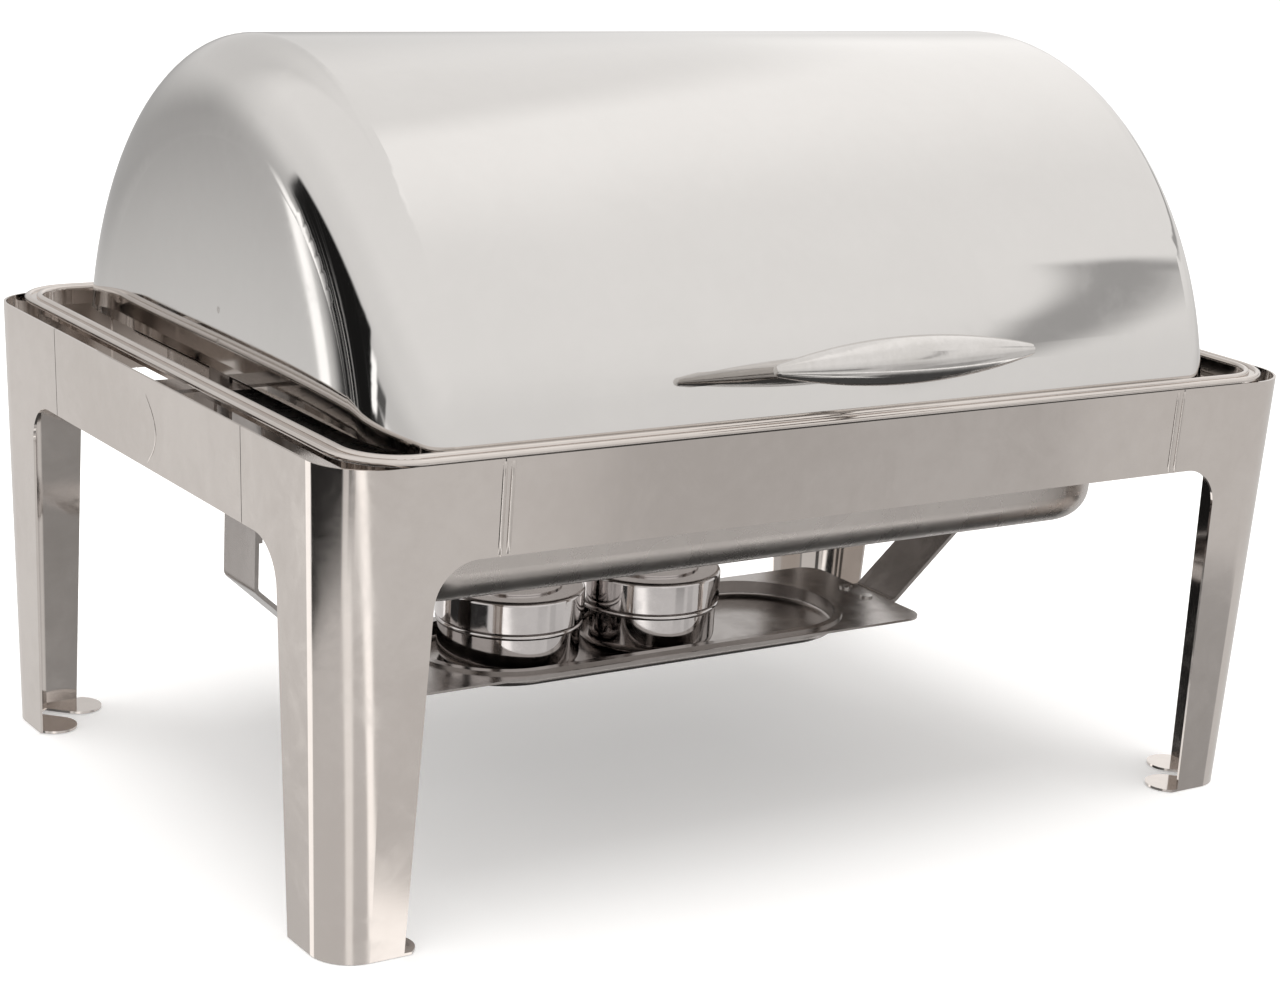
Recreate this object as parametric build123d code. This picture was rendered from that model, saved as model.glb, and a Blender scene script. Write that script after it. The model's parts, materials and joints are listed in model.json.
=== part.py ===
from build123d import *
import math
import os

# Roll-top chafing dish: an open stand of pressed sheet carries a rim ring, a water pan, a food pan,
# a half-drum cover that rolls back on two pins, and a hanging shelf with two fuel burners.
# Millimetres. +X runs along the length, -Y is the serving side with the handle, +Z is up.
# The origin is on the table, under the middle of the outline with the handle counted in.
# Everything is drawn about the middle of the stand and moved back by stand_back at the end.

# ---- Driving dimensions -------------------------------------------------------------------------
frame_length = 656.0
frame_width = 456.0
frame_top = 265.0
band_height = 51.5
draft_angle = 2.0
sheet = 1.5
corner_radius = 32.0
stand_back = 17.4

seam_x = 233.0
seam_y = 123.0
seam_gap = 0.6
joggle_length = 4.0
joggle_tab = 16.0
leg_edge_top_x = 269.0
leg_edge_foot_x = 276.0
leg_edge_top_y = 161.5
leg_edge_foot_y = 170.0
leg_fillet = 25.0

finger_reach = 51.0
finger_spacing = 39.0
finger_width = 28.0
finger_root = 20.0

ring_length = 632.0
ring_width = 460.0
ring_radius = 38.0
ring_roll = 2.0
ring_step = 9.0
ring_skirt_depth = 7.0

cover_radius = 215.0
cover_length = 566.0
shoulder_along = 30.0
shoulder_deep = 55.0
cover_sheet = 1.0
cover_edge_z = 264.0
axis_z = 232.0

pan_top = 257.2
pan_sheet = 1.0
basin_length = 516.0
basin_width = 318.0
basin_bottom = 163.0
basin_wall_taper = 3.0
basin_radius = 45.0
basin_floor_radius = 20.0
pan_flange_x = 272.0
pan_flange_y = 172.0
ledge_x = 300.0
ledge_front_y = 221.0
ledge_rear_y = -20.0

food_flange_length = 530.0
food_flange_width = 325.0
food_length = 500.0
food_width = 298.0
food_depth = 65.0
food_sheet = 0.8

strap_width = 40.0
strap_sheet = 2.5
strap_bend = 5.0
strap_drop_x = 266.8
strap_knee_z = 140.0
shelf_top = 80.5
shelf_sheet = 1.5
shelf_half_length = 190.0
shelf_half_width = 62.0
tray_half_length = 150.0
tray_half_width = 53.0
tray_depth = 9.0
tray_sheet = 1.0
tray_lip = 4.0
strap_foot_x = 197.0

pin_radius = 3.0
pin_clearance = 0.06
ear_half_width = 13.0
lug_x = 290.0
bracket_sheet = 2.0
bracket_width = 26.0

burner_x = (-88.0, 12.0)
cup_radius = 43.5
cup_height = 29.0
lid_radius = 45.5
lid_height = 19.0
burner_sheet = 0.8
burner_opening = 29.0
damper_radius = 31.5
damper_arm = 38.0
can_radius = 39.0
can_height = 34.0

handle_angle = 16.0
handle_radius = 262.0
handle_length = 176.0
handle_waist = 13.0
handle_tip = 3.0
post_radius = 6.5
screw_radius = 2.5
screw_head_depth = 3.0
washer_depth = 2.0

# ---- Derived sizes ------------------------------------------------------------------------------
half_length = frame_length / 2
half_width = frame_width / 2
band_bottom = frame_top - band_height
draft_run = math.tan(math.radians(draft_angle))
shelf_bottom = shelf_top - shelf_sheet
tray_floor = shelf_top - tray_depth
cup_top = tray_floor + cup_height
lid_top = cup_top + lid_height
end_wall_inner = cover_length / 2 - cover_sheet
far = 1000.0

parts = {}


def block(x0, x1, y0, y1, z0, z1):
    """A box between two corners."""
    box = Box(x1 - x0, y1 - y0, z1 - z0)
    return Pos((x0 + x1) / 2, (y0 + y1) / 2, (z0 + z1) / 2) * box


def disc(radius, x, y, z0, z1):
    """An upright round bar between two heights."""
    return Pos(x, y, (z0 + z1) / 2) * Cylinder(radius, z1 - z0)


def bar_x(radius, x0, x1, y, z):
    """A round bar lying along X."""
    return Pos((x0 + x1) / 2, y, z) * Rot(0, 90, 0) * Cylinder(radius, x1 - x0)


def mirrored_x(shape):
    return mirror(shape, about=Plane.YZ)


def mirrored_y(shape):
    return mirror(shape, about=Plane.XZ)


def rounded_prism(length, width, radius, z0, z1):
    """A straight block with rounded upright corners."""
    return Pos(0, 0, z0) * extrude(RectangleRounded(length, width, radius), z1 - z0)


def tapered_prism(length, width, radius, z0, z1, spread):
    """A rounded block whose sides lean out by spread from z0 up to z1, where it has the stated size."""
    top = Pos(0, 0, z1) * RectangleRounded(length, width, radius)
    low = Pos(0, 0, z0) * RectangleRounded(length - 2 * spread, width - 2 * spread, radius - spread)
    return loft([low.face(), top.face()], ruled=True)


def skirt(inset, z0, z1):
    """The solid inside the stand's drafted sides, moved in by inset, between two heights."""
    top_run = (frame_top - z1) * draft_run + inset
    spread = (z1 - z0) * draft_run
    length = frame_length - 2 * top_run
    width = frame_width - 2 * top_run
    return tapered_prism(length, width, corner_radius - top_run, z0, z1, spread)


def skin(outer_inset, inner_inset, z0, z1):
    """A layer of sheet that follows the stand's drafted sides."""
    return skirt(outer_inset, z0, z1) - skirt(inner_inset, z0, z1)


def leg_profile(edge_foot, edge_top, seam):
    """Face view of a leg panel: a wide head as deep as the band, a fillet, and a tapering shank."""
    outline = Polyline(
        (-far, -1),
        (-edge_foot, -1),
        (-edge_top, band_bottom),
        (-seam, band_bottom),
        (-seam, frame_top + 1),
        (-far, frame_top + 1),
        close=True,
    )
    face = make_face(outline)
    inner_corner = face.vertices().sort_by_distance(Vector(-edge_top, band_bottom, 0))[0]
    return fillet(inner_corner, leg_fillet)


def foot_plate():
    """Flat foot under the front left leg: two round-ended fingers that point in along the diagonal."""
    corner_x = -(half_length - frame_top * draft_run)
    corner_y = -(half_width - frame_top * draft_run)
    fingers = None
    for side in (-1, 1):
        shank = Pos(finger_reach / 2 - finger_width / 4, side * finger_spacing / 2) * Rectangle(
            finger_reach - finger_width / 2, finger_width
        )
        tip = Pos(finger_reach - finger_width / 2, side * finger_spacing / 2) * Circle(finger_width / 2)
        finger = shank + tip
        fingers = finger if fingers is None else fingers + finger
    web = Pos(finger_root / 2, 0) * Rectangle(finger_root, finger_spacing)
    plate = extrude(fingers + web, sheet)
    plate = Pos(corner_x, corner_y, 0) * Rot(0, 0, 45) * plate
    return plate & skirt(0.0, 0.0, sheet)


def make_leg():
    """Front left corner leg, pressed from one sheet: two drafted faces, a round corner and a foot."""
    shell = skin(0.0, sheet, 0.0, frame_top)
    front = Plane.XZ * leg_profile(leg_edge_foot_x, leg_edge_top_x, seam_x + seam_gap / 2)
    front_cut = extrude(front, far)
    side = Plane.YZ * leg_profile(leg_edge_foot_y, leg_edge_top_y, seam_y + seam_gap / 2)
    side_cut = extrude(side, -far)
    return (shell & front_cut & side_cut) + foot_plate()


def rail_body(layer, tabs):
    """Joins a rail's outer sheet to the joggled tabs that slip behind the leg heads."""
    rail = layer
    for tab in tabs:
        rail = rail + tab
    return rail


def make_front_rail():
    outer = skin(0.0, sheet, band_bottom, frame_top)
    inner = skin(sheet, 2 * sheet, band_bottom + 1, frame_top - 1)
    seam = seam_x - seam_gap / 2
    body = outer & block(-seam, seam, -far, 0, 0, far)
    start = seam - joggle_length
    end = seam_x + joggle_tab
    tabs = [inner & block(start, end, -far, 0, 0, far), inner & block(-end, -start, -far, 0, 0, far)]
    return rail_body(body, tabs)


def make_left_rail():
    outer = skin(0.0, sheet, band_bottom, frame_top)
    inner = skin(sheet, 2 * sheet, band_bottom + 1, frame_top - 1)
    seam = seam_y - seam_gap / 2
    body = outer & block(-far, 0, -seam, seam, 0, far)
    start = seam - joggle_length
    end = seam_y + joggle_tab
    tabs = [inner & block(-far, 0, start, end, 0, far), inner & block(-far, 0, -end, -start, 0, far)]
    return rail_body(body, tabs)


def build_stand():
    leg = make_leg()
    parts["leg_front_left"] = leg
    parts["leg_front_right"] = mirrored_x(leg)
    parts["leg_rear_left"] = mirrored_y(leg)
    parts["leg_rear_right"] = mirrored_x(mirrored_y(leg))
    rail = make_front_rail()
    parts["rail_front"] = rail
    parts["rail_rear"] = mirrored_y(rail)
    end_rail = make_left_rail()
    parts["rail_left"] = end_rail
    parts["rail_right"] = mirrored_x(end_rail)


def ring_loop(inset, z0, z1):
    """Solid rounded rectangle parallel to the ring's outer line."""
    return rounded_prism(ring_length - 2 * inset, ring_width - 2 * inset, ring_radius - inset, z0, z1)


def ring_bead(inset, radius, z):
    """Round bead that follows the ring."""
    path = Pos(0, 0, z) * RectangleRounded(
        ring_length - 2 * inset, ring_width - 2 * inset, ring_radius - inset
    ).face().outer_wire()
    start = path @ 0
    section = Plane(origin=start, z_dir=path % 0) * Circle(radius)
    return sweep(section, path=path)


def build_rim_ring():
    """Rolled ring that sits on the long rails: outer roll, shallow valley, inner roll and a skirt."""
    inner_line = ring_step + ring_roll
    valley_low = frame_top + 1.2
    outer_roll = ring_bead(ring_roll, ring_roll, frame_top + ring_roll)
    inner_roll = ring_bead(ring_step, ring_roll, frame_top + ring_roll + 0.6)
    valley = ring_loop(ring_roll, valley_low, valley_low + 1.2) - ring_loop(ring_step, frame_top, frame_top + 4)
    skirt_top = frame_top + ring_roll
    skirt_low = frame_top - ring_skirt_depth
    inner_skirt = ring_loop(inner_line - 1.2, skirt_low, skirt_top)
    inner_skirt = inner_skirt - ring_loop(inner_line, skirt_low - 1, skirt_top + 1)
    parts["rim_ring"] = valley + outer_roll + inner_roll + inner_skirt


def basin_form(inset):
    """The water pan's hollow or its outside, by inset."""
    low = basin_bottom + inset
    form = tapered_prism(
        basin_length - 2 * inset,
        basin_width - 2 * inset,
        basin_radius - inset,
        low,
        pan_top,
        basin_wall_taper,
    )
    floor_edges = form.faces().sort_by(Axis.Z)[0].edges()
    return fillet(floor_edges, basin_floor_radius - inset)


def build_water_pan():
    """Deep basin with a top flange; on the serving side the flange widens to a ledge under the ring."""
    flange_low = pan_top - pan_sheet
    flange = rounded_prism(2 * pan_flange_x, 2 * pan_flange_y, 40.0, flange_low, pan_top)
    ledge = rounded_prism(2 * ledge_x, 2 * ledge_front_y, 28.0, flange_low, pan_top)
    ledge = ledge & block(-far, far, -far, ledge_rear_y, 0, far)
    pan = flange + ledge + basin_form(0.0)
    pan = pan - basin_form(pan_sheet)
    parts["water_pan"] = pan


def build_food_pan():
    """Full-size gastronorm pan that hangs in the water pan by its flange."""
    bottom = pan_top - food_depth
    outer = tapered_prism(food_length, food_width, 38.0, bottom, pan_top + food_sheet, 5.0)
    outer = fillet(outer.faces().sort_by(Axis.Z)[0].edges(), 16.0)
    flange = rounded_prism(food_flange_length, food_flange_width, 30.0, pan_top, pan_top + food_sheet)
    hollow = tapered_prism(
        food_length - 2 * food_sheet,
        food_width - 2 * food_sheet,
        38.0 - food_sheet,
        bottom + food_sheet,
        pan_top + food_sheet,
        5.0,
    )
    hollow = fillet(hollow.faces().sort_by(Axis.Z)[0].edges(), 15.0)
    parts["food_pan"] = outer + flange - hollow


def drum(inset):
    """Closed drum along X about the cover's turning axis, its end edges rounded as quarter ellipses."""
    radius = cover_radius - inset
    wall_x = cover_length / 2 - inset
    along = shoulder_along - inset
    deep = shoulder_deep - inset
    shoulder = EllipticalCenterArc((wall_x - along, radius - deep), along, deep, arc_size=90)
    crown = Line((along - wall_x, radius), (wall_x - along, radius))
    walls = Polyline(
        (wall_x, radius - deep),
        (wall_x, 0),
        (-wall_x, 0),
        (-wall_x, radius - deep),
    )
    outline = shoulder + crown + mirrored_x(shoulder) + walls
    return Pos(0, 0, axis_z) * revolve(make_face(outline), Axis.X, 360)


def on_cover(radius, angle):
    """Point at a radius and angle about the cover's axis, counted up from the serving side."""
    turn = math.radians(angle)
    return (0, -radius * math.cos(turn), axis_z + radius * math.sin(turn))


def handle_plane(radius):
    """Plane across the handle's post, with its normal pointing out of the cover."""
    turn = math.radians(handle_angle)
    normal = (0, -math.cos(turn), math.sin(turn))
    return Plane(origin=on_cover(radius, handle_angle), x_dir=(1, 0, 0), z_dir=normal)


def build_cover():
    shell = (drum(0.0) - drum(cover_sheet)) & block(-far, far, -far, far, cover_edge_z, far)
    screw_hole = extrude(handle_plane(cover_radius - 8) * Circle(screw_radius), 16)
    parts["roll_cover"] = shell - screw_hole


def build_handle():
    """Lens-shaped bar on one short post, held by a screw from inside the cover."""
    half = handle_length / 2
    edge = ThreePointArc((-half, handle_tip), (0, handle_waist), (half, handle_tip))
    ends = Polyline((half, handle_tip), (half, 0), (-half, 0), (-half, handle_tip))
    bar = revolve(make_face(edge + ends), Axis.X, 360)
    bar = fillet(bar.edges().filter_by(GeomType.CIRCLE), handle_tip * 0.8)
    bar = Pos(*on_cover(handle_radius, handle_angle)) * bar

    gap = handle_radius - cover_radius
    post = loft(
        [
            (handle_plane(cover_radius - 1) * Circle(post_radius + 3)).face(),
            (handle_plane(cover_radius + gap * 0.4) * Circle(post_radius - 1)).face(),
            (handle_plane(handle_radius) * Circle(post_radius)).face(),
        ]
    )
    drum_space = bar_x(cover_radius, -60, 60, 0, axis_z)
    washer_face = cover_radius - cover_sheet - washer_depth
    head_face = washer_face - screw_head_depth
    screw_shank = extrude(handle_plane(head_face) * Circle(screw_radius), handle_radius - 22 - head_face)
    screw_head = extrude(handle_plane(head_face) * Circle(5.5), screw_head_depth)
    inside_drum = bar_x(cover_radius - cover_sheet, -60, 60, 0, axis_z)
    washer = extrude(handle_plane(washer_face) * Circle(8), 4) & inside_drum
    parts["handle_bar"] = bar
    parts["handle_post"] = post - bar - drum_space - screw_shank
    parts["handle_screw"] = screw_shank + screw_head
    parts["handle_washer"] = washer - screw_shank


def ear_outline():
    """Face view of a pivot ear: round at the pin, straight up to the end wall."""
    eye = Pos(0, axis_z) * Circle(ear_half_width)
    arm = Pos(0, (axis_z + 296) / 2) * Rectangle(2 * ear_half_width, 296 - axis_z)
    cap = Pos(0, 296) * Circle(ear_half_width)
    hole = Pos(0, axis_z) * Circle(pin_radius + pin_clearance)
    return eye + arm + cap - hole


def build_pivots():
    """Ears on the cover's end walls, their rivets ground flush outside, and pins in rail brackets."""
    ear = extrude(Plane.YZ * ear_outline(), bracket_sheet)
    ear = Pos(-end_wall_inner, 0, 0) * ear
    rivets = None
    for rivet_z in (280.0, 298.0):
        shank = bar_x(2.0, -cover_length / 2, -end_wall_inner + bracket_sheet, 0, rivet_z)
        head_in = bar_x(4.0, -end_wall_inner + bracket_sheet, -end_wall_inner + bracket_sheet + 1.2, 0, rivet_z)
        rivet = shank + head_in
        ear = ear - shank
        parts["roll_cover"] = parts["roll_cover"] - shank - mirrored_x(shank)
        rivets = [rivet] if rivets is None else rivets + [rivet]
    parts["cover_ear_left"] = ear
    parts["cover_ear_right"] = mirrored_x(ear)
    parts["ear_rivets"] = Compound(rivets + [mirrored_x(r) for r in rivets])

    ear_outer = -end_wall_inner
    ear_inner = -end_wall_inner + bracket_sheet
    lug_outer = -lug_x - bracket_sheet / 2
    lug_inner = lug_outer + bracket_sheet
    pin = bar_x(pin_radius, lug_outer - 1.5, ear_inner + 2.0, 0, axis_z)
    pin = pin + bar_x(5.5, lug_outer - 2.0, lug_outer, 0, axis_z)
    pin = pin + bar_x(4.5, lug_inner, ear_outer - 0.3, 0, axis_z)
    pin = pin + bar_x(5.5, ear_inner + 0.3, ear_inner + 2.0, 0, axis_z)
    parts["pivot_pin_left"] = pin
    parts["pivot_pin_right"] = mirrored_x(pin)

    ring_seat = frame_top - ring_skirt_depth
    half = bracket_width / 2
    flange = skin(sheet + strap_sheet, sheet + strap_sheet + bracket_sheet, 224.0, ring_seat)
    flange = flange & block(-far, 0, -half, half, 0, far)
    web = block(-half_length, lug_inner, -half, half, ring_seat - bracket_sheet, ring_seat)
    web = web & skirt(sheet + strap_sheet, 224.0, ring_seat)
    lug = block(lug_outer, lug_inner, -half, half, axis_z, ring_seat)
    lug = lug + bar_x(half, lug_outer, lug_inner, 0, axis_z)
    bracket = flange + web + lug - bar_x(pin_radius, lug_outer - 5, lug_inner + 5, 0, axis_z)
    parts["pivot_bracket_left"] = bracket
    parts["pivot_bracket_right"] = mirrored_x(bracket)


def swept_strip(points, bend, width, thickness):
    """Flat strip of sheet bent along a path in the XZ plane."""
    path = FilletPolyline(*[(x, 0, z) for x, z in points], radius=bend)
    section = Plane(origin=path @ 0, x_dir=(0, 1, 0), z_dir=path % 0) * Rectangle(width, thickness)
    return sweep(section, path=path)


def build_hanger():
    """Straps that hang the fuel shelf from the end rails, and the bearers under the water pan."""
    level = band_bottom + 1.5 + strap_sheet / 2
    diagonal_foot = (-strap_foot_x, shelf_bottom - strap_sheet / 2)
    points = [
        (-(half_length - 12), level),
        (-strap_drop_x, level),
        (-strap_drop_x, strap_knee_z),
        diagonal_foot,
        (-(strap_foot_x - 28), shelf_bottom - strap_sheet / 2),
    ]
    strap = swept_strip(points, strap_bend, strap_width, strap_sheet)
    half = strap_width / 2
    flange_low = level - strap_sheet / 2
    flange = skin(sheet, sheet + strap_sheet, flange_low, frame_top - 9)
    flange = flange & block(-far, 0, -half, half, 0, far)
    root = block(-half_length, -(half_length - 12), -half, half, flange_low, flange_low + strap_sheet)
    root = root & skirt(sheet, flange_low, frame_top - 9)
    strap = strap + root + flange

    bearer_x = -strap_drop_x - strap_sheet / 2 + strap_sheet
    bearer = block(bearer_x, bearer_x + bracket_sheet, -half, half, 168.0, pan_top - pan_sheet)
    bearer = bearer + block(
        -pan_flange_x, bearer_x, -half, half, pan_top - pan_sheet - bracket_sheet, pan_top - pan_sheet
    )
    bearer_rivets = []
    for rivet_y in (-10.0, 10.0):
        shank = bar_x(2.0, bearer_x - strap_sheet, bearer_x + bracket_sheet, rivet_y, 186.0)
        strap = strap - shank
        bearer = bearer - shank
        outer_head = bar_x(4.0, bearer_x - strap_sheet - 1.2, bearer_x - strap_sheet, rivet_y, 186.0)
        inner_head = bar_x(4.0, bearer_x + bracket_sheet, bearer_x + bracket_sheet + 0.8, rivet_y, 186.0)
        bearer_rivets.append(shank + outer_head + inner_head)

    shelf_rivets = []
    rivet_x = -(strap_foot_x - 17)
    for rivet_y in (-11.0, 11.0):
        shank = disc(2.0, rivet_x, rivet_y, shelf_bottom - strap_sheet, shelf_top)
        strap = strap - shank
        top_head = disc(4.2, rivet_x, rivet_y, shelf_top, shelf_top + 1.2)
        low_head = disc(4.2, rivet_x, rivet_y, shelf_bottom - strap_sheet - 1.2, shelf_bottom - strap_sheet)
        shelf_rivets.append(shank + top_head + low_head)

    parts["hanger_strap_left"] = strap
    parts["hanger_strap_right"] = mirrored_x(strap)
    parts["pan_bearer_left"] = bearer
    parts["pan_bearer_right"] = mirrored_x(bearer)
    parts["bearer_rivets"] = Compound(bearer_rivets + [mirrored_x(r) for r in bearer_rivets])
    parts["shelf_rivets"] = Compound(shelf_rivets + [mirrored_x(r) for r in shelf_rivets])


def stadium(half_long, half_wide, z0, z1):
    """Straight-sided plate or plug with half-round ends."""
    outline = SlotOverall(2 * half_long, 2 * half_wide)
    return Pos(0, 0, z0) * extrude(outline, z1 - z0)


def build_shelf():
    plate = rounded_prism(2 * shelf_half_length, 2 * shelf_half_width, 14.0, shelf_bottom, shelf_top)
    plate = plate - stadium(tray_half_length, tray_half_width, shelf_bottom - 1, shelf_top + 1)
    for rivet in parts["shelf_rivets"].solids():
        plate = plate - rivet
    parts["fuel_shelf"] = plate

    pan = stadium(tray_half_length, tray_half_width, tray_floor - tray_sheet, shelf_top)
    low_face = pan.faces().sort_by(Axis.Z)[0]
    pan = fillet(low_face.edges(), 4.0)
    lip = stadium(tray_half_length + tray_lip, tray_half_width + tray_lip, shelf_top, shelf_top + 1.6)
    hollow = stadium(tray_half_length - tray_sheet, tray_half_width - tray_sheet, tray_floor, shelf_top + 3)
    hollow = fillet(hollow.faces().sort_by(Axis.Z)[0].edges(), 3.0)
    parts["burner_tray"] = pan + lip - hollow


def build_burner(name, x, side):
    """Fuel burner: round cup, fuel can, drawn lid with an opening, and a swinging damper disc."""
    cup = disc(cup_radius, x, 0, tray_floor, cup_top)
    cup = fillet(cup.faces().sort_by(Axis.Z)[0].edges(), 7.0)
    cup_hollow = disc(cup_radius - burner_sheet, x, 0, tray_floor + burner_sheet, cup_top + 5)
    cup_hollow = fillet(cup_hollow.faces().sort_by(Axis.Z)[0].edges(), 6.2)
    bead = Pos(x, 0, cup_top - 3.0) * Torus(cup_radius - 0.4, 2.0)
    cup = cup + bead
    parts[f"burner_cup_{name}"] = cup - cup_hollow

    can_low = tray_floor + burner_sheet
    can = disc(can_radius - 8.0, x, 0, can_low, can_low + can_height)
    can = fillet(can.edges().filter_by(GeomType.CIRCLE), 1.5)
    mouth = disc(20.0, x, 0, can_low + can_height - 12.0, can_low + can_height + 5)
    parts[f"fuel_can_{name}"] = can - mouth

    lid = disc(lid_radius, x, 0, cup_top, lid_top)
    lid = fillet(lid.faces().sort_by(Axis.Z)[-1].edges(), 2.5)
    hollow = disc(lid_radius - burner_sheet, x, 0, cup_top - 5, lid_top - burner_sheet)
    seat = disc(lid_radius, x, 0, cup_top, cup_top + burner_sheet)
    seat = seat - disc(can_radius, x, 0, cup_top - 1, cup_top + 5)
    opening = disc(burner_opening, x, 0, lid_top - 5, lid_top + 5)
    pivot_x = x + side * damper_arm
    rivet_shank = disc(1.5, pivot_x, 0, lid_top - burner_sheet - 1.0, lid_top + 2.2)
    rivet_top = disc(3.2, pivot_x, 0, lid_top + 1.2, lid_top + 2.2)
    rivet_low = disc(3.2, pivot_x, 0, lid_top - burner_sheet - 1.0, lid_top - burner_sheet)
    parts[f"burner_lid_{name}"] = lid - hollow + seat - opening - rivet_shank
    parts[f"damper_rivet_{name}"] = rivet_shank + rivet_top + rivet_low

    plate_z = lid_top + 0.1
    plate = disc(damper_radius, x, 0, plate_z, plate_z + 1.0)
    neck = block(min(x, pivot_x), max(x, pivot_x), -7, 7, plate_z, plate_z + 1.0)
    eye = disc(7.0, pivot_x, 0, plate_z, plate_z + 1.0)
    tab = block(
        min(pivot_x, pivot_x + side * 13), max(pivot_x, pivot_x + side * 13), -4, 4, plate_z, plate_z + 1.0
    )
    grip = disc(5.0, pivot_x + side * 13, 0, plate_z, plate_z + 5.0)
    grip = fillet(grip.edges().filter_by(GeomType.CIRCLE).sort_by(Axis.Z)[-1], 1.5)
    bore = disc(1.5 + pin_clearance, pivot_x, 0, plate_z - 1, plate_z + 3)
    parts[f"damper_{name}"] = plate + neck + eye + tab + grip - bore


build_stand()
build_rim_ring()
build_water_pan()
build_food_pan()
build_cover()
build_handle()
build_pivots()
build_hanger()
build_shelf()
build_burner("left", burner_x[0], -1)
build_burner("right", burner_x[1], 1)

os.makedirs("parts", exist_ok=True)
for node, shape in parts.items():
    export_step(Pos(0, stand_back, 0) * shape, f"parts/{node}.step")
print(len(parts), "nodes written")
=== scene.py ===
import json
import math

import bpy
from mathutils import Matrix, Vector


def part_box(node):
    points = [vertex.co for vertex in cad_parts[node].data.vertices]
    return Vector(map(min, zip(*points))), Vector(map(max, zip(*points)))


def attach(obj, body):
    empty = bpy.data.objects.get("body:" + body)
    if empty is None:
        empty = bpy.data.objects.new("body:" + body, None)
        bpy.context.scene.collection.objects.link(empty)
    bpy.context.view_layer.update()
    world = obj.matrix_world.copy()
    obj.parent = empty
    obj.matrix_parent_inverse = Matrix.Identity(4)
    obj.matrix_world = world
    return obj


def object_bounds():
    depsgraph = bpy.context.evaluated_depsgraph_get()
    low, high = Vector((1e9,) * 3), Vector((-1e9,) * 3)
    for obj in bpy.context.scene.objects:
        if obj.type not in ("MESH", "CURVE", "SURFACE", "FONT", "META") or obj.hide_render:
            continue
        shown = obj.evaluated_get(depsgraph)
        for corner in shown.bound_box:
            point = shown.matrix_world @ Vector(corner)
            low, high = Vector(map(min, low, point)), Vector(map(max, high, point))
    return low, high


# Roll-top chafing dish. The CAD nodes give the shape; this script adds their finishes, the weld
# beads, the studio and the camera. Metres, in the frame of the CAD model, and angles in degrees.

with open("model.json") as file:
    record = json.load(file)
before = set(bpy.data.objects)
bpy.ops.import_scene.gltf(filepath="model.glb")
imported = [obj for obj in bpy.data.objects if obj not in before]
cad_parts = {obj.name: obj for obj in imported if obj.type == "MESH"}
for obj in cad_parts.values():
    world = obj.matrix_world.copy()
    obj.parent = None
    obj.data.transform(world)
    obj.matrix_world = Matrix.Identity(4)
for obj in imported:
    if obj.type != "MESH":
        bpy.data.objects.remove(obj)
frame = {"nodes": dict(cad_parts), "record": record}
low_corner, high_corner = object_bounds()
nodes = frame["nodes"]

left_leg_low, left_leg_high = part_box("leg_front_left")
frame_top_z = left_leg_high[2]
left_top_x = left_leg_low[0]
front_top_y = left_leg_low[1]
seam_x = -left_leg_high[0]

STAND_MIDDLE = 0.0174
COVER_AXIS = 0.232

# ---- Camera -------------------------------------------------------------------------------------
CAMERA_PLACE = (-0.9313, -1.3620, 0.6093)
CAMERA_AZIMUTH = 35.9
CAMERA_ELEVATION = 16.64
CAMERA_ROLL = 3.88
CAMERA_LENS = 78.2
CAMERA_SENSOR = 36.0
CAMERA_SHIFT = (-0.0614, 0.0707)
CAMERA_NEAREST = 0.05
CAMERA_FARTHEST = 100.0


def add_camera():
    """Camera in front of the left end, turned to the right and tipped down."""
    azimuth = math.radians(CAMERA_AZIMUTH)
    elevation = math.radians(CAMERA_ELEVATION)
    roll = math.radians(CAMERA_ROLL)
    backward = Vector(
        (
            -math.sin(azimuth) * math.cos(elevation),
            -math.cos(azimuth) * math.cos(elevation),
            math.sin(elevation),
        )
    )
    right = Vector((0, 0, 1)).cross(backward).normalized()
    up = backward.cross(right)
    rolled_right = right * math.cos(roll) + up * math.sin(roll)
    rolled_up = up * math.cos(roll) - right * math.sin(roll)
    data = bpy.data.cameras.new("studio_camera")
    data.lens = CAMERA_LENS
    data.sensor_width = CAMERA_SENSOR
    data.shift_x, data.shift_y = CAMERA_SHIFT
    data.clip_start = CAMERA_NEAREST
    data.clip_end = CAMERA_FARTHEST
    camera = bpy.data.objects.new("studio_camera", data)
    turn = Matrix((rolled_right, rolled_up, backward)).transposed().to_4x4()
    camera.matrix_world = Matrix.Translation(Vector(CAMERA_PLACE)) @ turn
    bpy.context.scene.collection.objects.link(camera)
    bpy.context.scene.camera = camera


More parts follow.
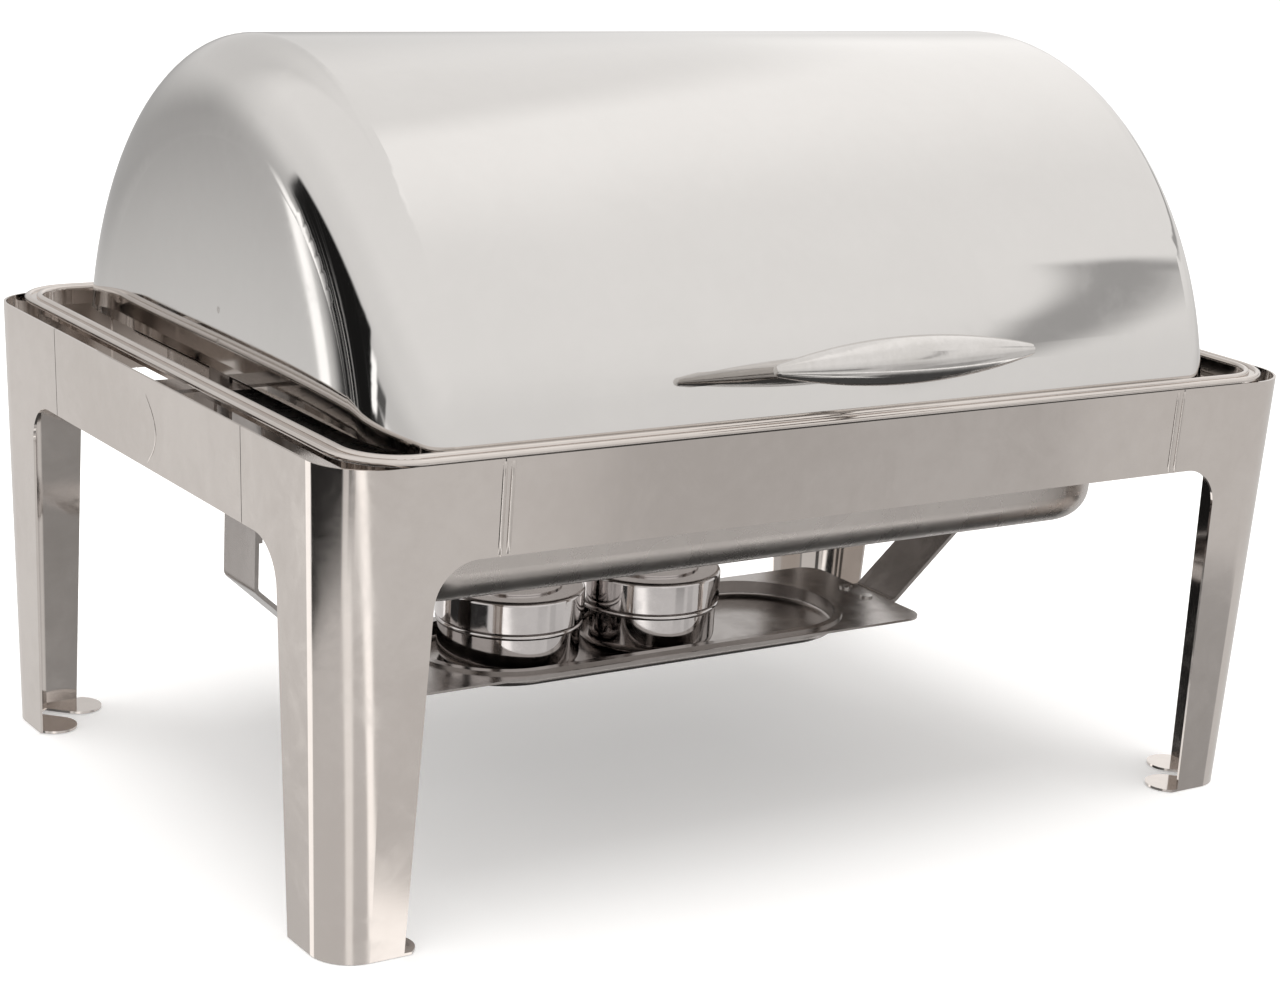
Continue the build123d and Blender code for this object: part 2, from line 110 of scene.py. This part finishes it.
# ---- Node helpers -------------------------------------------------------------------------------
class Graph:
    """Short calls for building a node tree. A value is a number or another node's output."""

    def __init__(self, tree):
        self.tree = tree
        tree.nodes.clear()

    def node(self, kind, **settings):
        made = self.tree.nodes.new(kind)
        for key, value in settings.items():
            setattr(made, key, value)
        return made

    def put(self, socket, value):
        if isinstance(value, bpy.types.NodeSocket):
            self.tree.links.new(value, socket)
        else:
            socket.default_value = value

    def math(self, operation, *values):
        made = self.node("ShaderNodeMath", operation=operation)
        for socket, value in zip(made.inputs, values):
            self.put(socket, value)
        return made.outputs[0]

    def product(self, first, *others):
        for other in others:
            first = self.math("MULTIPLY", first, other)
        return first

    def total(self, first, *others):
        for other in others:
            first = self.math("ADD", first, other)
        return first

    def less(self, first, second):
        return self.math("SUBTRACT", first, second)

    def climb(self, kind, value, start, end, low, high):
        made = self.node("ShaderNodeMapRange", interpolation_type=kind)
        for socket, item in zip(made.inputs, (value, start, end, low, high)):
            self.put(socket, item)
        return made.outputs[0]

    def ramp(self, value, start, end, low=0.0, high=1.0):
        """A smooth step from low at start to high at end."""
        return self.climb("SMOOTHSTEP", value, start, end, low, high)

    def slope(self, value, start, end, low, high):
        """A straight climb from low at start to high at end."""
        return self.climb("LINEAR", value, start, end, low, high)

    def window(self, value, low, high, soft):
        """One between low and high, with soft edges outside them."""
        rise = self.ramp(value, low - soft, low)
        fall = self.ramp(value, high, high + soft, 1.0, 0.0)
        return self.product(rise, fall)

    def blend(self, share, first, second):
        """A number that goes from first to second as share goes from 0 to 1."""
        made = self.node("ShaderNodeMix", data_type="FLOAT")
        for index, value in ((0, share), (2, first), (3, second)):
            self.put(made.inputs[index], value)
        return made.outputs[0]

    def colour(self, share, first, second):
        """A colour that goes from first to second as share goes from 0 to 1."""
        made = self.node("ShaderNodeMix", data_type="RGBA")
        for index, value in ((0, share), (6, (*first, 1)), (7, (*second, 1))):
            self.put(made.inputs[index], value)
        return made.outputs[2]

    def parts(self, vector):
        """The x, y and z of a vector."""
        split = self.node("ShaderNodeSeparateXYZ")
        self.put(split.inputs[0], vector)
        return split.outputs

    def noise(self, vector, scale, detail, roughness, distortion=0.0):
        made = self.node("ShaderNodeTexNoise")
        self.put(made.inputs["Vector"], vector)
        self.put(made.inputs["Scale"], scale)
        self.put(made.inputs["Detail"], detail)
        self.put(made.inputs["Roughness"], roughness)
        self.put(made.inputs["Distortion"], distortion)
        return made.outputs["Fac"]

    def stretched(self, vector, scale):
        made = self.node("ShaderNodeMapping")
        self.put(made.inputs["Vector"], vector)
        made.inputs["Scale"].default_value = scale
        return made.outputs["Vector"]


# ---- Studio -------------------------------------------------------------------------------------
# The polished steel mirrors these. Azimuth runs from -Y towards +X. A step is where it starts and
# ends and, unless it goes from 0 to 1, its two values. A window is its two edges and their softness.
FRONT_HORIZON_STEP = (-6.0, 6.0, 0.72, 0.90)
FRONT_UPPER_STEP = (6.0, 26.0, 0.0, 0.10)
BACK_HORIZON_STEP = (-2.0, 12.0, 0.44, 0.76)
BACK_UPPER_STEP = (20.0, 75.0, 0.0, 0.22)
BACK_AZIMUTH_STEP = (143.0, 157.0)
FRONT_BELOW = 0.72
BACK_BELOW_STEP = (-14.5, -5.0, 0.80, 0.46)
BACK_BELOW_DIMMING = (-27.0, -18.0, 0.86, 1.0)
BELOW_DIMMING = (-46.0, -27.0, 0.10, 1.0)
HORIZON_STEP = (-5.0, 0.0)

WALL_SIDE = (0.81, -0.496, -0.313)
WALL_EDGE_STEP = (-0.03, 0.05)
WALL_FADE_STEP = (0.08, 0.42, 1.0, 0.1)
WALL_ELEVATION_STEP = (8.0, 20.0)
WALL_AZIMUTH_WINDOW = (60.0, 175.0, 25.0)
WALL_BRIGHTNESS = 1.18

ARCH_NEAR_SIDE = (38.0, 51.5, 10.0, 31.5)
ARCH_FAR_SIDE = (60.0, 112.0, 0.0, 17.5)
ARCH_LOWER_STEP = (-6.8, -2.6)
ARCH_UPPER_STEP = (-1.0, 1.5, 1.0, 0.0)
ARCH_AZIMUTH_WINDOWS = ((40.0, 52.3, 2.0), (72.0, 116.0, 5.0))
ARCH_BRIGHTNESS = 0.44

DOORWAY_LEANING_WINDOW = (-142.0, -118.0, 1.5)
DOORWAY_ELEVATION_WINDOW = (-14.5, 0.3, 1.6)
DOORWAY_AZIMUTH_STEP = (-149.5, -147.5)
DOORWAY_BRIGHTNESS = 0.012
STREAK_FLATTENING = 0.06
STREAK_SCALE = 0.55
STREAK_STEP = (0.5, 0.62)
STREAK_AZIMUTH_FADE = (-146.0, -134.0, 0.55, 0.05)
STREAK_ELEVATION_FADE = (-9.0, -3.0, 1.0, 0.1)

GREEN_SHARE = 0.985
BLUE_SHARE = 0.97

# Soft cards, placed to give the reflections of the room that the real dish stood in. Azimuth
# and elevation, lowest and highest, the softness of their edges in each, how far the azimuth leans
# per degree of elevation, and brightness.
STUDIO_CARDS = (
    (-150.6, -149.8, -40.0, -7.5, 0.35, 2.5, 0.0, 1.5),
    (-116.3, -113.7, -13.5, -3.0, 1.2, 2.0, 1.0, 1.5),
    (-111.5, -106.0, -13.5, -4.5, 1.5, 1.5, 1.0, 0.12),
    (35.0, 43.0, -60.0, -10.0, 2.0, 4.0, 0.0, 0.58),
    (44.5, 60.0, -30.0, -18.6, 2.0, 1.0, 0.0, 0.44),
    (15.0, 26.0, -16.5, -9.0, 4.0, 1.0, 0.0, 0.33),
    (-151.0, -136.0, -50.0, -15.5, 3.0, 1.0, 0.0, 1.5),
    (-130.0, -120.0, -50.0, -21.0, 8.0, 1.5, -3.4, 1.15),
    (-134.0, -66.0, -20.2, -9.0, 4.0, 0.9, 0.0, 0.03),
    (-52.0, -42.0, -19.4, -9.0, 2.5, 0.6, 0.0, 0.10),
    (-160.0, -150.0, -60.0, -9.0, 7.0, 3.0, -6.6, 1.55),
)


def room_level(g, azimuth, elevation):
    """Brightness of the bare room: bright above, greyer at the horizon and behind, dark far below."""
    front = g.ramp(elevation, *FRONT_HORIZON_STEP)
    front = g.total(front, g.ramp(elevation, *FRONT_UPPER_STEP))
    back = g.ramp(elevation, *BACK_HORIZON_STEP)
    back = g.total(back, g.ramp(elevation, *BACK_UPPER_STEP))
    behind = g.ramp(g.math("ABSOLUTE", azimuth), *BACK_AZIMUTH_STEP)
    above = g.blend(behind, front, back)
    below_back = g.ramp(elevation, *BACK_BELOW_STEP)
    below_back = g.product(below_back, g.ramp(elevation, *BACK_BELOW_DIMMING))
    below = g.blend(behind, FRONT_BELOW, below_back)
    below = g.product(below, g.ramp(elevation, *BELOW_DIMMING))
    return g.blend(g.ramp(elevation, *HORIZON_STEP), below, above)


def with_wall(g, level, direction, azimuth, elevation):
    """Adds a bright wall to the right of a great circle that leans over the dish."""
    wall_side = g.node("ShaderNodeVectorMath", operation="DOT_PRODUCT")
    g.put(wall_side.inputs[0], direction)
    wall_side.inputs[1].default_value = WALL_SIDE
    inside = wall_side.outputs["Value"]
    wall = g.product(
        g.ramp(inside, *WALL_EDGE_STEP),
        g.ramp(inside, *WALL_FADE_STEP),
        g.ramp(elevation, *WALL_ELEVATION_STEP),
        g.window(azimuth, *WALL_AZIMUTH_WINDOW),
    )
    return g.blend(wall, level, WALL_BRIGHTNESS)


def with_arch(g, level, azimuth, elevation):
    """Adds the dark outline of a low arch on the right."""
    arch = g.less(g.slope(azimuth, *ARCH_NEAR_SIDE), g.slope(azimuth, *ARCH_FAR_SIDE))
    over = g.less(elevation, arch)
    band = g.product(g.ramp(over, *ARCH_LOWER_STEP), g.ramp(over, *ARCH_UPPER_STEP))
    spans = g.total(*(g.window(azimuth, *window) for window in ARCH_AZIMUTH_WINDOWS))
    return g.blend(g.product(band, spans), level, ARCH_BRIGHTNESS)


def with_cards(g, level, azimuth, elevation):
    """Adds the soft cards, each over the ones before it."""
    for az_low, az_high, el_low, el_high, az_soft, el_soft, lean, brightness in STUDIO_CARDS:
        leaning = g.less(azimuth, g.product(elevation, lean))
        card = g.product(
            g.window(leaning, az_low, az_high, az_soft),
            g.window(elevation, el_low, el_high, el_soft),
        )
        level = g.blend(card, level, brightness)
    return level


def with_doorway(g, level, azimuth, elevation):
    """Adds a dark doorway behind the left end, with a leaning near edge and fine pale streaks."""
    leaning = g.less(azimuth, elevation)
    doorway = g.product(
        g.window(leaning, *DOORWAY_LEANING_WINDOW),
        g.window(elevation, *DOORWAY_ELEVATION_WINDOW),
        g.ramp(azimuth, *DOORWAY_AZIMUTH_STEP),
    )
    stripes = g.node("ShaderNodeCombineXYZ")
    g.put(stripes.inputs[0], azimuth)
    g.put(stripes.inputs[1], g.product(elevation, STREAK_FLATTENING))
    pattern = g.noise(stripes.outputs[0], STREAK_SCALE, detail=2.0, roughness=0.6)
    streak = g.product(
        g.ramp(pattern, *STREAK_STEP),
        g.ramp(azimuth, *STREAK_AZIMUTH_FADE),
        g.ramp(elevation, *STREAK_ELEVATION_FADE),
    )
    return g.blend(doorway, level, g.total(streak, DOORWAY_BRIGHTNESS))


def build_world():
    """Room that the steel mirrors, as a slightly warm brightness for each direction."""
    world = bpy.data.worlds.new("studio")
    world.use_nodes = True
    bpy.context.scene.world = world
    g = Graph(world.node_tree)
    direction = g.node("ShaderNodeTexCoord").outputs["Generated"]
    x, y, z = g.parts(direction)
    azimuth = g.math("DEGREES", g.math("ARCTAN2", x, g.product(y, -1.0)))
    elevation = g.math("DEGREES", g.math("ARCSINE", z))

    level = room_level(g, azimuth, elevation)
    level = with_wall(g, level, direction, azimuth, elevation)
    level = with_arch(g, level, azimuth, elevation)
    level = with_cards(g, level, azimuth, elevation)
    level = with_doorway(g, level, azimuth, elevation)

    tint = g.node("ShaderNodeCombineColor")
    g.put(tint.inputs[0], level)
    g.put(tint.inputs[1], g.product(level, GREEN_SHARE))
    g.put(tint.inputs[2], g.product(level, BLUE_SHARE))
    background = g.node("ShaderNodeBackground")
    g.put(background.inputs["Color"], tint.outputs[0])
    background.inputs["Strength"].default_value = 1.0
    output = g.node("ShaderNodeOutputWorld")
    g.put(output.inputs["Surface"], background.outputs[0])


FLOOR_SIZE = 60.0
FLOOR_GAP = 0.0004
FLOOR_COLOUR = (0.93, 0.925, 0.92, 1)
FLOOR_GLOW_COLOUR = (1.0, 0.995, 0.99, 1)
FLOOR_GLOW = 0.22
FLOOR_ROUGHNESS = 0.9
FLOOR_SPECULAR = 0.1
LAMP_PLACE = (0.0, 0.0, 3.0)
LAMP_SIZE = 3.0
LAMP_POWER = 60.0


def add_floor():
    """Plain pale floor with a faint glow. The steel mirrors the room in place of it."""
    place = (0, 0, low_corner.z - FLOOR_GAP)
    bpy.ops.mesh.primitive_plane_add(size=FLOOR_SIZE, location=place)
    floor = bpy.context.object
    floor.name = "studio_floor"
    material = bpy.data.materials.new("pale_floor")
    material.use_nodes = True
    shader = material.node_tree.nodes["Principled BSDF"]
    shader.inputs["Base Color"].default_value = FLOOR_COLOUR
    shader.inputs["Roughness"].default_value = FLOOR_ROUGHNESS
    shader.inputs["Specular IOR Level"].default_value = FLOOR_SPECULAR
    shader.inputs["Emission Color"].default_value = FLOOR_GLOW_COLOUR
    shader.inputs["Emission Strength"].default_value = FLOOR_GLOW
    floor.data.materials.append(material)
    floor.visible_glossy = False


def add_lamp():
    """Large square lamp over the dish that lights it softly and isn't mirrored in the steel."""
    data = bpy.data.lights.new("floor_lamp", "AREA")
    data.shape = "SQUARE"
    data.size = LAMP_SIZE
    data.energy = LAMP_POWER
    lamp = bpy.data.objects.new("floor_lamp", data)
    lamp.location = LAMP_PLACE
    lamp.rotation_euler = Vector(LAMP_PLACE).to_track_quat("Z", "Y").to_euler()
    lamp.visible_glossy = False
    bpy.context.scene.collection.objects.link(lamp)


# ---- Finishes -----------------------------------------------------------------------------------
END_WALL_STEP = (0.276, 0.282)
CROWN_RADIUS = 0.16
CROWN_RATE = 66.0

MARKS_FINER = 4.5
MOTTLE_FINER = 22.0
DENTS_FINER = 1.6
CLOUD_SHARE = 0.6
MARKS_SHARE = 0.25
MOTTLE_SHARE = 0.15
TONE_STEP = (0.36, 0.64)
MARKS_STEP = (0.42, 0.68)
CLOUD_HAZE = 0.5

# Light and dark tone, roughness and how much fingermarks add to it, clouds per metre, depth of the
# dents and of the grain in metres, and the grain's fineness along x, y and z.
FINISHES = {
    "satin_steel": dict(
        light=(0.70, 0.652, 0.618),
        dark=(0.625, 0.577, 0.542),
        roughness=0.05,
        smudge=0.05,
        cloud_scale=4.5,
        dent_depth=0.00010,
        grain_depth=0.0000006,
        grain_scale=(60.0, 60.0, 1500.0),
    ),
    "pan_steel": dict(
        light=(0.63, 0.590, 0.562),
        dark=(0.56, 0.522, 0.495),
        roughness=0.25,
        smudge=0.06,
        cloud_scale=5.0,
        grain_depth=0.0000005,
        grain_scale=(70.0, 600.0, 600.0),
    ),
    "bracket_steel": dict(
        light=(0.43, 0.402, 0.386),
        dark=(0.34, 0.315, 0.30),
        roughness=0.17,
        smudge=0.07,
        cloud_scale=9.0,
        dent_depth=0.0001,
        grain_depth=0.000002,
        grain_scale=(80.0, 1500.0, 1500.0),
    ),
    "fastener_steel": dict(
        light=(0.66, 0.64, 0.62),
        dark=(0.52, 0.50, 0.48),
        roughness=0.18,
        smudge=0.08,
        cloud_scale=40.0,
        grain_depth=0.000002,
        grain_scale=(900.0, 900.0, 900.0),
    ),
    "polished_cover": dict(
        light=(0.705, 0.69, 0.675),
        dark=(0.685, 0.67, 0.655),
        roughness=0.03,
        smudge=0.03,
        cloud_scale=5.0,
        dent_depth=0.00012,
        crowned_ends=True,
    ),
    "polished_handle": dict(
        light=(0.70, 0.68, 0.665),
        dark=(0.62, 0.60, 0.58),
        roughness=0.10,
        smudge=0.04,
        cloud_scale=20.0,
        dent_depth=0.00003,
    ),
    "burner_steel": dict(
        light=(0.66, 0.63, 0.62),
        dark=(0.60, 0.57, 0.56),
        roughness=0.06,
        smudge=0.04,
        cloud_scale=22.0,
        dent_depth=0.00003,
    ),
    "fuel_tin": dict(
        light=(0.72, 0.71, 0.70),
        dark=(0.60, 0.59, 0.58),
        roughness=0.25,
        smudge=0.08,
        cloud_scale=30.0,
    ),
}


def end_crown(g, place):
    """Height of the gentle outward crown of the cover's two flat ends, in metres."""
    x, y, z = g.parts(place)
    across = g.less(y, STAND_MIDDLE)
    over = g.less(z, COVER_AXIS)
    reach = g.total(g.product(across, across), g.product(over, over))
    bend = g.math("POWER", reach, 3.0)
    height = g.product(g.less(CROWN_RADIUS**6, bend), CROWN_RATE)
    height = g.math("MAXIMUM", height, 0.0)
    return g.product(height, g.ramp(g.math("ABSOLUTE", x), *END_WALL_STEP))


def steel_tone(g, clouds, marks, mottle):
    """Share of the light tone, from 0 to 1."""
    tone = g.total(
        g.product(clouds, CLOUD_SHARE),
        g.product(marks, MARKS_SHARE),
        g.product(mottle, MOTTLE_SHARE),
    )
    return g.ramp(tone, *TONE_STEP)


def steel(
    name,
    light,
    dark,
    roughness,
    smudge,
    cloud_scale,
    dent_depth=0.0,
    grain_depth=0.0,
    grain_scale=(300.0, 300.0, 300.0),
    crowned_ends=False,
):
    """Stainless steel: cloudy tone, fingermarks in the gloss, shallow dents and a fine grain."""
    material = bpy.data.materials.new(name)
    material.use_nodes = True
    g = Graph(material.node_tree)
    place = g.node("ShaderNodeTexCoord").outputs["Object"]
    clouds = g.noise(place, cloud_scale, detail=4.0, roughness=0.6, distortion=0.6)
    marks = g.noise(place, cloud_scale * MARKS_FINER, detail=5.0, roughness=0.65, distortion=1.2)
    mottle = g.noise(place, cloud_scale * MOTTLE_FINER, detail=3.0, roughness=0.6)
    haze = g.total(
        g.ramp(marks, *MARKS_STEP, roughness, roughness + smudge),
        g.product(clouds, smudge * CLOUD_HAZE),
    )
    dents = g.noise(place, cloud_scale * DENTS_FINER, detail=1.0, roughness=0.4)
    grain = g.noise(g.stretched(place, grain_scale), 1.0, detail=2.0, roughness=0.5)
    height = g.total(g.product(dents, dent_depth), g.product(grain, grain_depth))
    if crowned_ends:
        height = g.total(height, end_crown(g, place))
    bump = g.node("ShaderNodeBump")
    bump.inputs["Strength"].default_value = 1.0
    bump.inputs["Distance"].default_value = 1.0
    g.put(bump.inputs["Height"], height)
    shader = g.node("ShaderNodeBsdfPrincipled")
    shader.inputs["Metallic"].default_value = 1.0
    g.put(shader.inputs["Base Color"], g.colour(steel_tone(g, clouds, marks, mottle), dark, light))
    g.put(shader.inputs["Roughness"], haze)
    g.put(shader.inputs["Normal"], bump.outputs[0])
    output = g.node("ShaderNodeOutputMaterial")
    g.put(output.inputs["Surface"], shader.outputs[0])
    return material


def finish_nodes():
    """Gives every CAD node the finish that the record names for it."""
    finishes = {slot: steel(slot + "_finish", **values) for slot, values in FINISHES.items()}
    for part in frame["record"]["subparts"]:
        mesh = nodes[part["node"]].data
        for index in range(len(mesh.materials)):
            mesh.materials[index] = finishes[part["material_slot"]]
    return finishes


# ---- Weld beads ---------------------------------------------------------------------------------
FACE_SLOPE = math.tan(math.radians(2.0))
ACROSS_BEAD = 8
TAPER_STEPS = 3.0

SEAM_GAP = 0.0048
SEAM_LOW = 0.2145
SEAM_HIGH = 0.2635
SEAM_STEPS = 24
SEAM_WIDTH = 0.0026
SEAM_HEIGHT = 0.0008

ARC_OFFSET = 0.004
ARC_BULGE = 0.013
ARC_MIDDLE = 0.236
ARC_REACH = 0.019
ARC_STEPS = 30
ARC_WIDTH = 0.0018
ARC_HEIGHT = 0.0002


def front_face(x, z):
    """Point on the outside of the front, which leans out towards the top, and the way it faces."""
    return Vector((x, front_top_y + (frame_top_z - z) * FACE_SLOPE, z)), Vector((0, -1, 0))


def left_face(y, z):
    """Point on the outside of the left end, which leans out the same way, and the way it faces."""
    return Vector((left_top_x + (frame_top_z - z) * FACE_SLOPE, y, z)), Vector((-1, 0, 0))


def bead(name, path, width, height, finish):
    """Half-round raised bead along points on a face, with its ends tapered into the sheet."""
    corners = []
    last = len(path) - 1
    for index, (point, outward) in enumerate(path):
        before = path[max(index - 1, 0)][0]
        after = path[min(index + 1, last)][0]
        side = (after - before).normalized().cross(outward).normalized()
        full = min(1.0, math.sqrt(min(index, last - index) / TAPER_STEPS))
        for step in range(ACROSS_BEAD + 1):
            angle = math.pi * step / ACROSS_BEAD
            rise = height * full * math.sin(angle)
            corners.append(point + side * (width / 2 * math.cos(angle)) + outward * rise)
    row = ACROSS_BEAD + 1
    faces = []
    for index in range(last):
        for step in range(ACROSS_BEAD):
            start = index * row + step
            faces.append((start, start + 1, start + 1 + row, start + row))
    mesh = bpy.data.meshes.new(name)
    mesh.from_pydata(corners, [], faces)
    mesh.materials.append(finish)
    for face in mesh.polygons:
        face.use_smooth = True
    piece = bpy.data.objects.new(name, mesh)
    bpy.context.scene.collection.objects.link(piece)
    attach(piece, "stand")


def add_seam_beads(finish):
    """Pair of raised weld beads down the joint between each front leg and the front rail."""
    span = SEAM_HIGH - SEAM_LOW
    heights = [SEAM_LOW + span * i / SEAM_STEPS for i in range(SEAM_STEPS + 1)]
    for label, side in (("left", -1), ("right", 1)):
        for which, inset in (("outer", 0.0), ("inner", SEAM_GAP)):
            path = [front_face(side * (seam_x - inset), z) for z in heights]
            bead(f"seam_bead_{label}_{which}", path, SEAM_WIDTH, SEAM_HEIGHT, finish)


def add_weld_arc(finish):
    """Faint curved weld line on the left rail, over the spot where the hanger strap is fixed."""
    path = []
    for i in range(ARC_STEPS + 1):
        along = -1 + 2 * i / ARC_STEPS
        y = STAND_MIDDLE - ARC_OFFSET - ARC_BULGE * (1 - along**2)
        path.append(left_face(y, ARC_MIDDLE + ARC_REACH * along))
    bead("strap_weld_arc", path, ARC_WIDTH, ARC_HEIGHT, finish)


finishes = finish_nodes()
add_seam_beads(finishes["satin_steel"])
add_weld_arc(finishes["satin_steel"])
build_world()
add_floor()
add_lamp()
add_camera()
bpy.context.scene.view_settings.view_transform = "Standard"
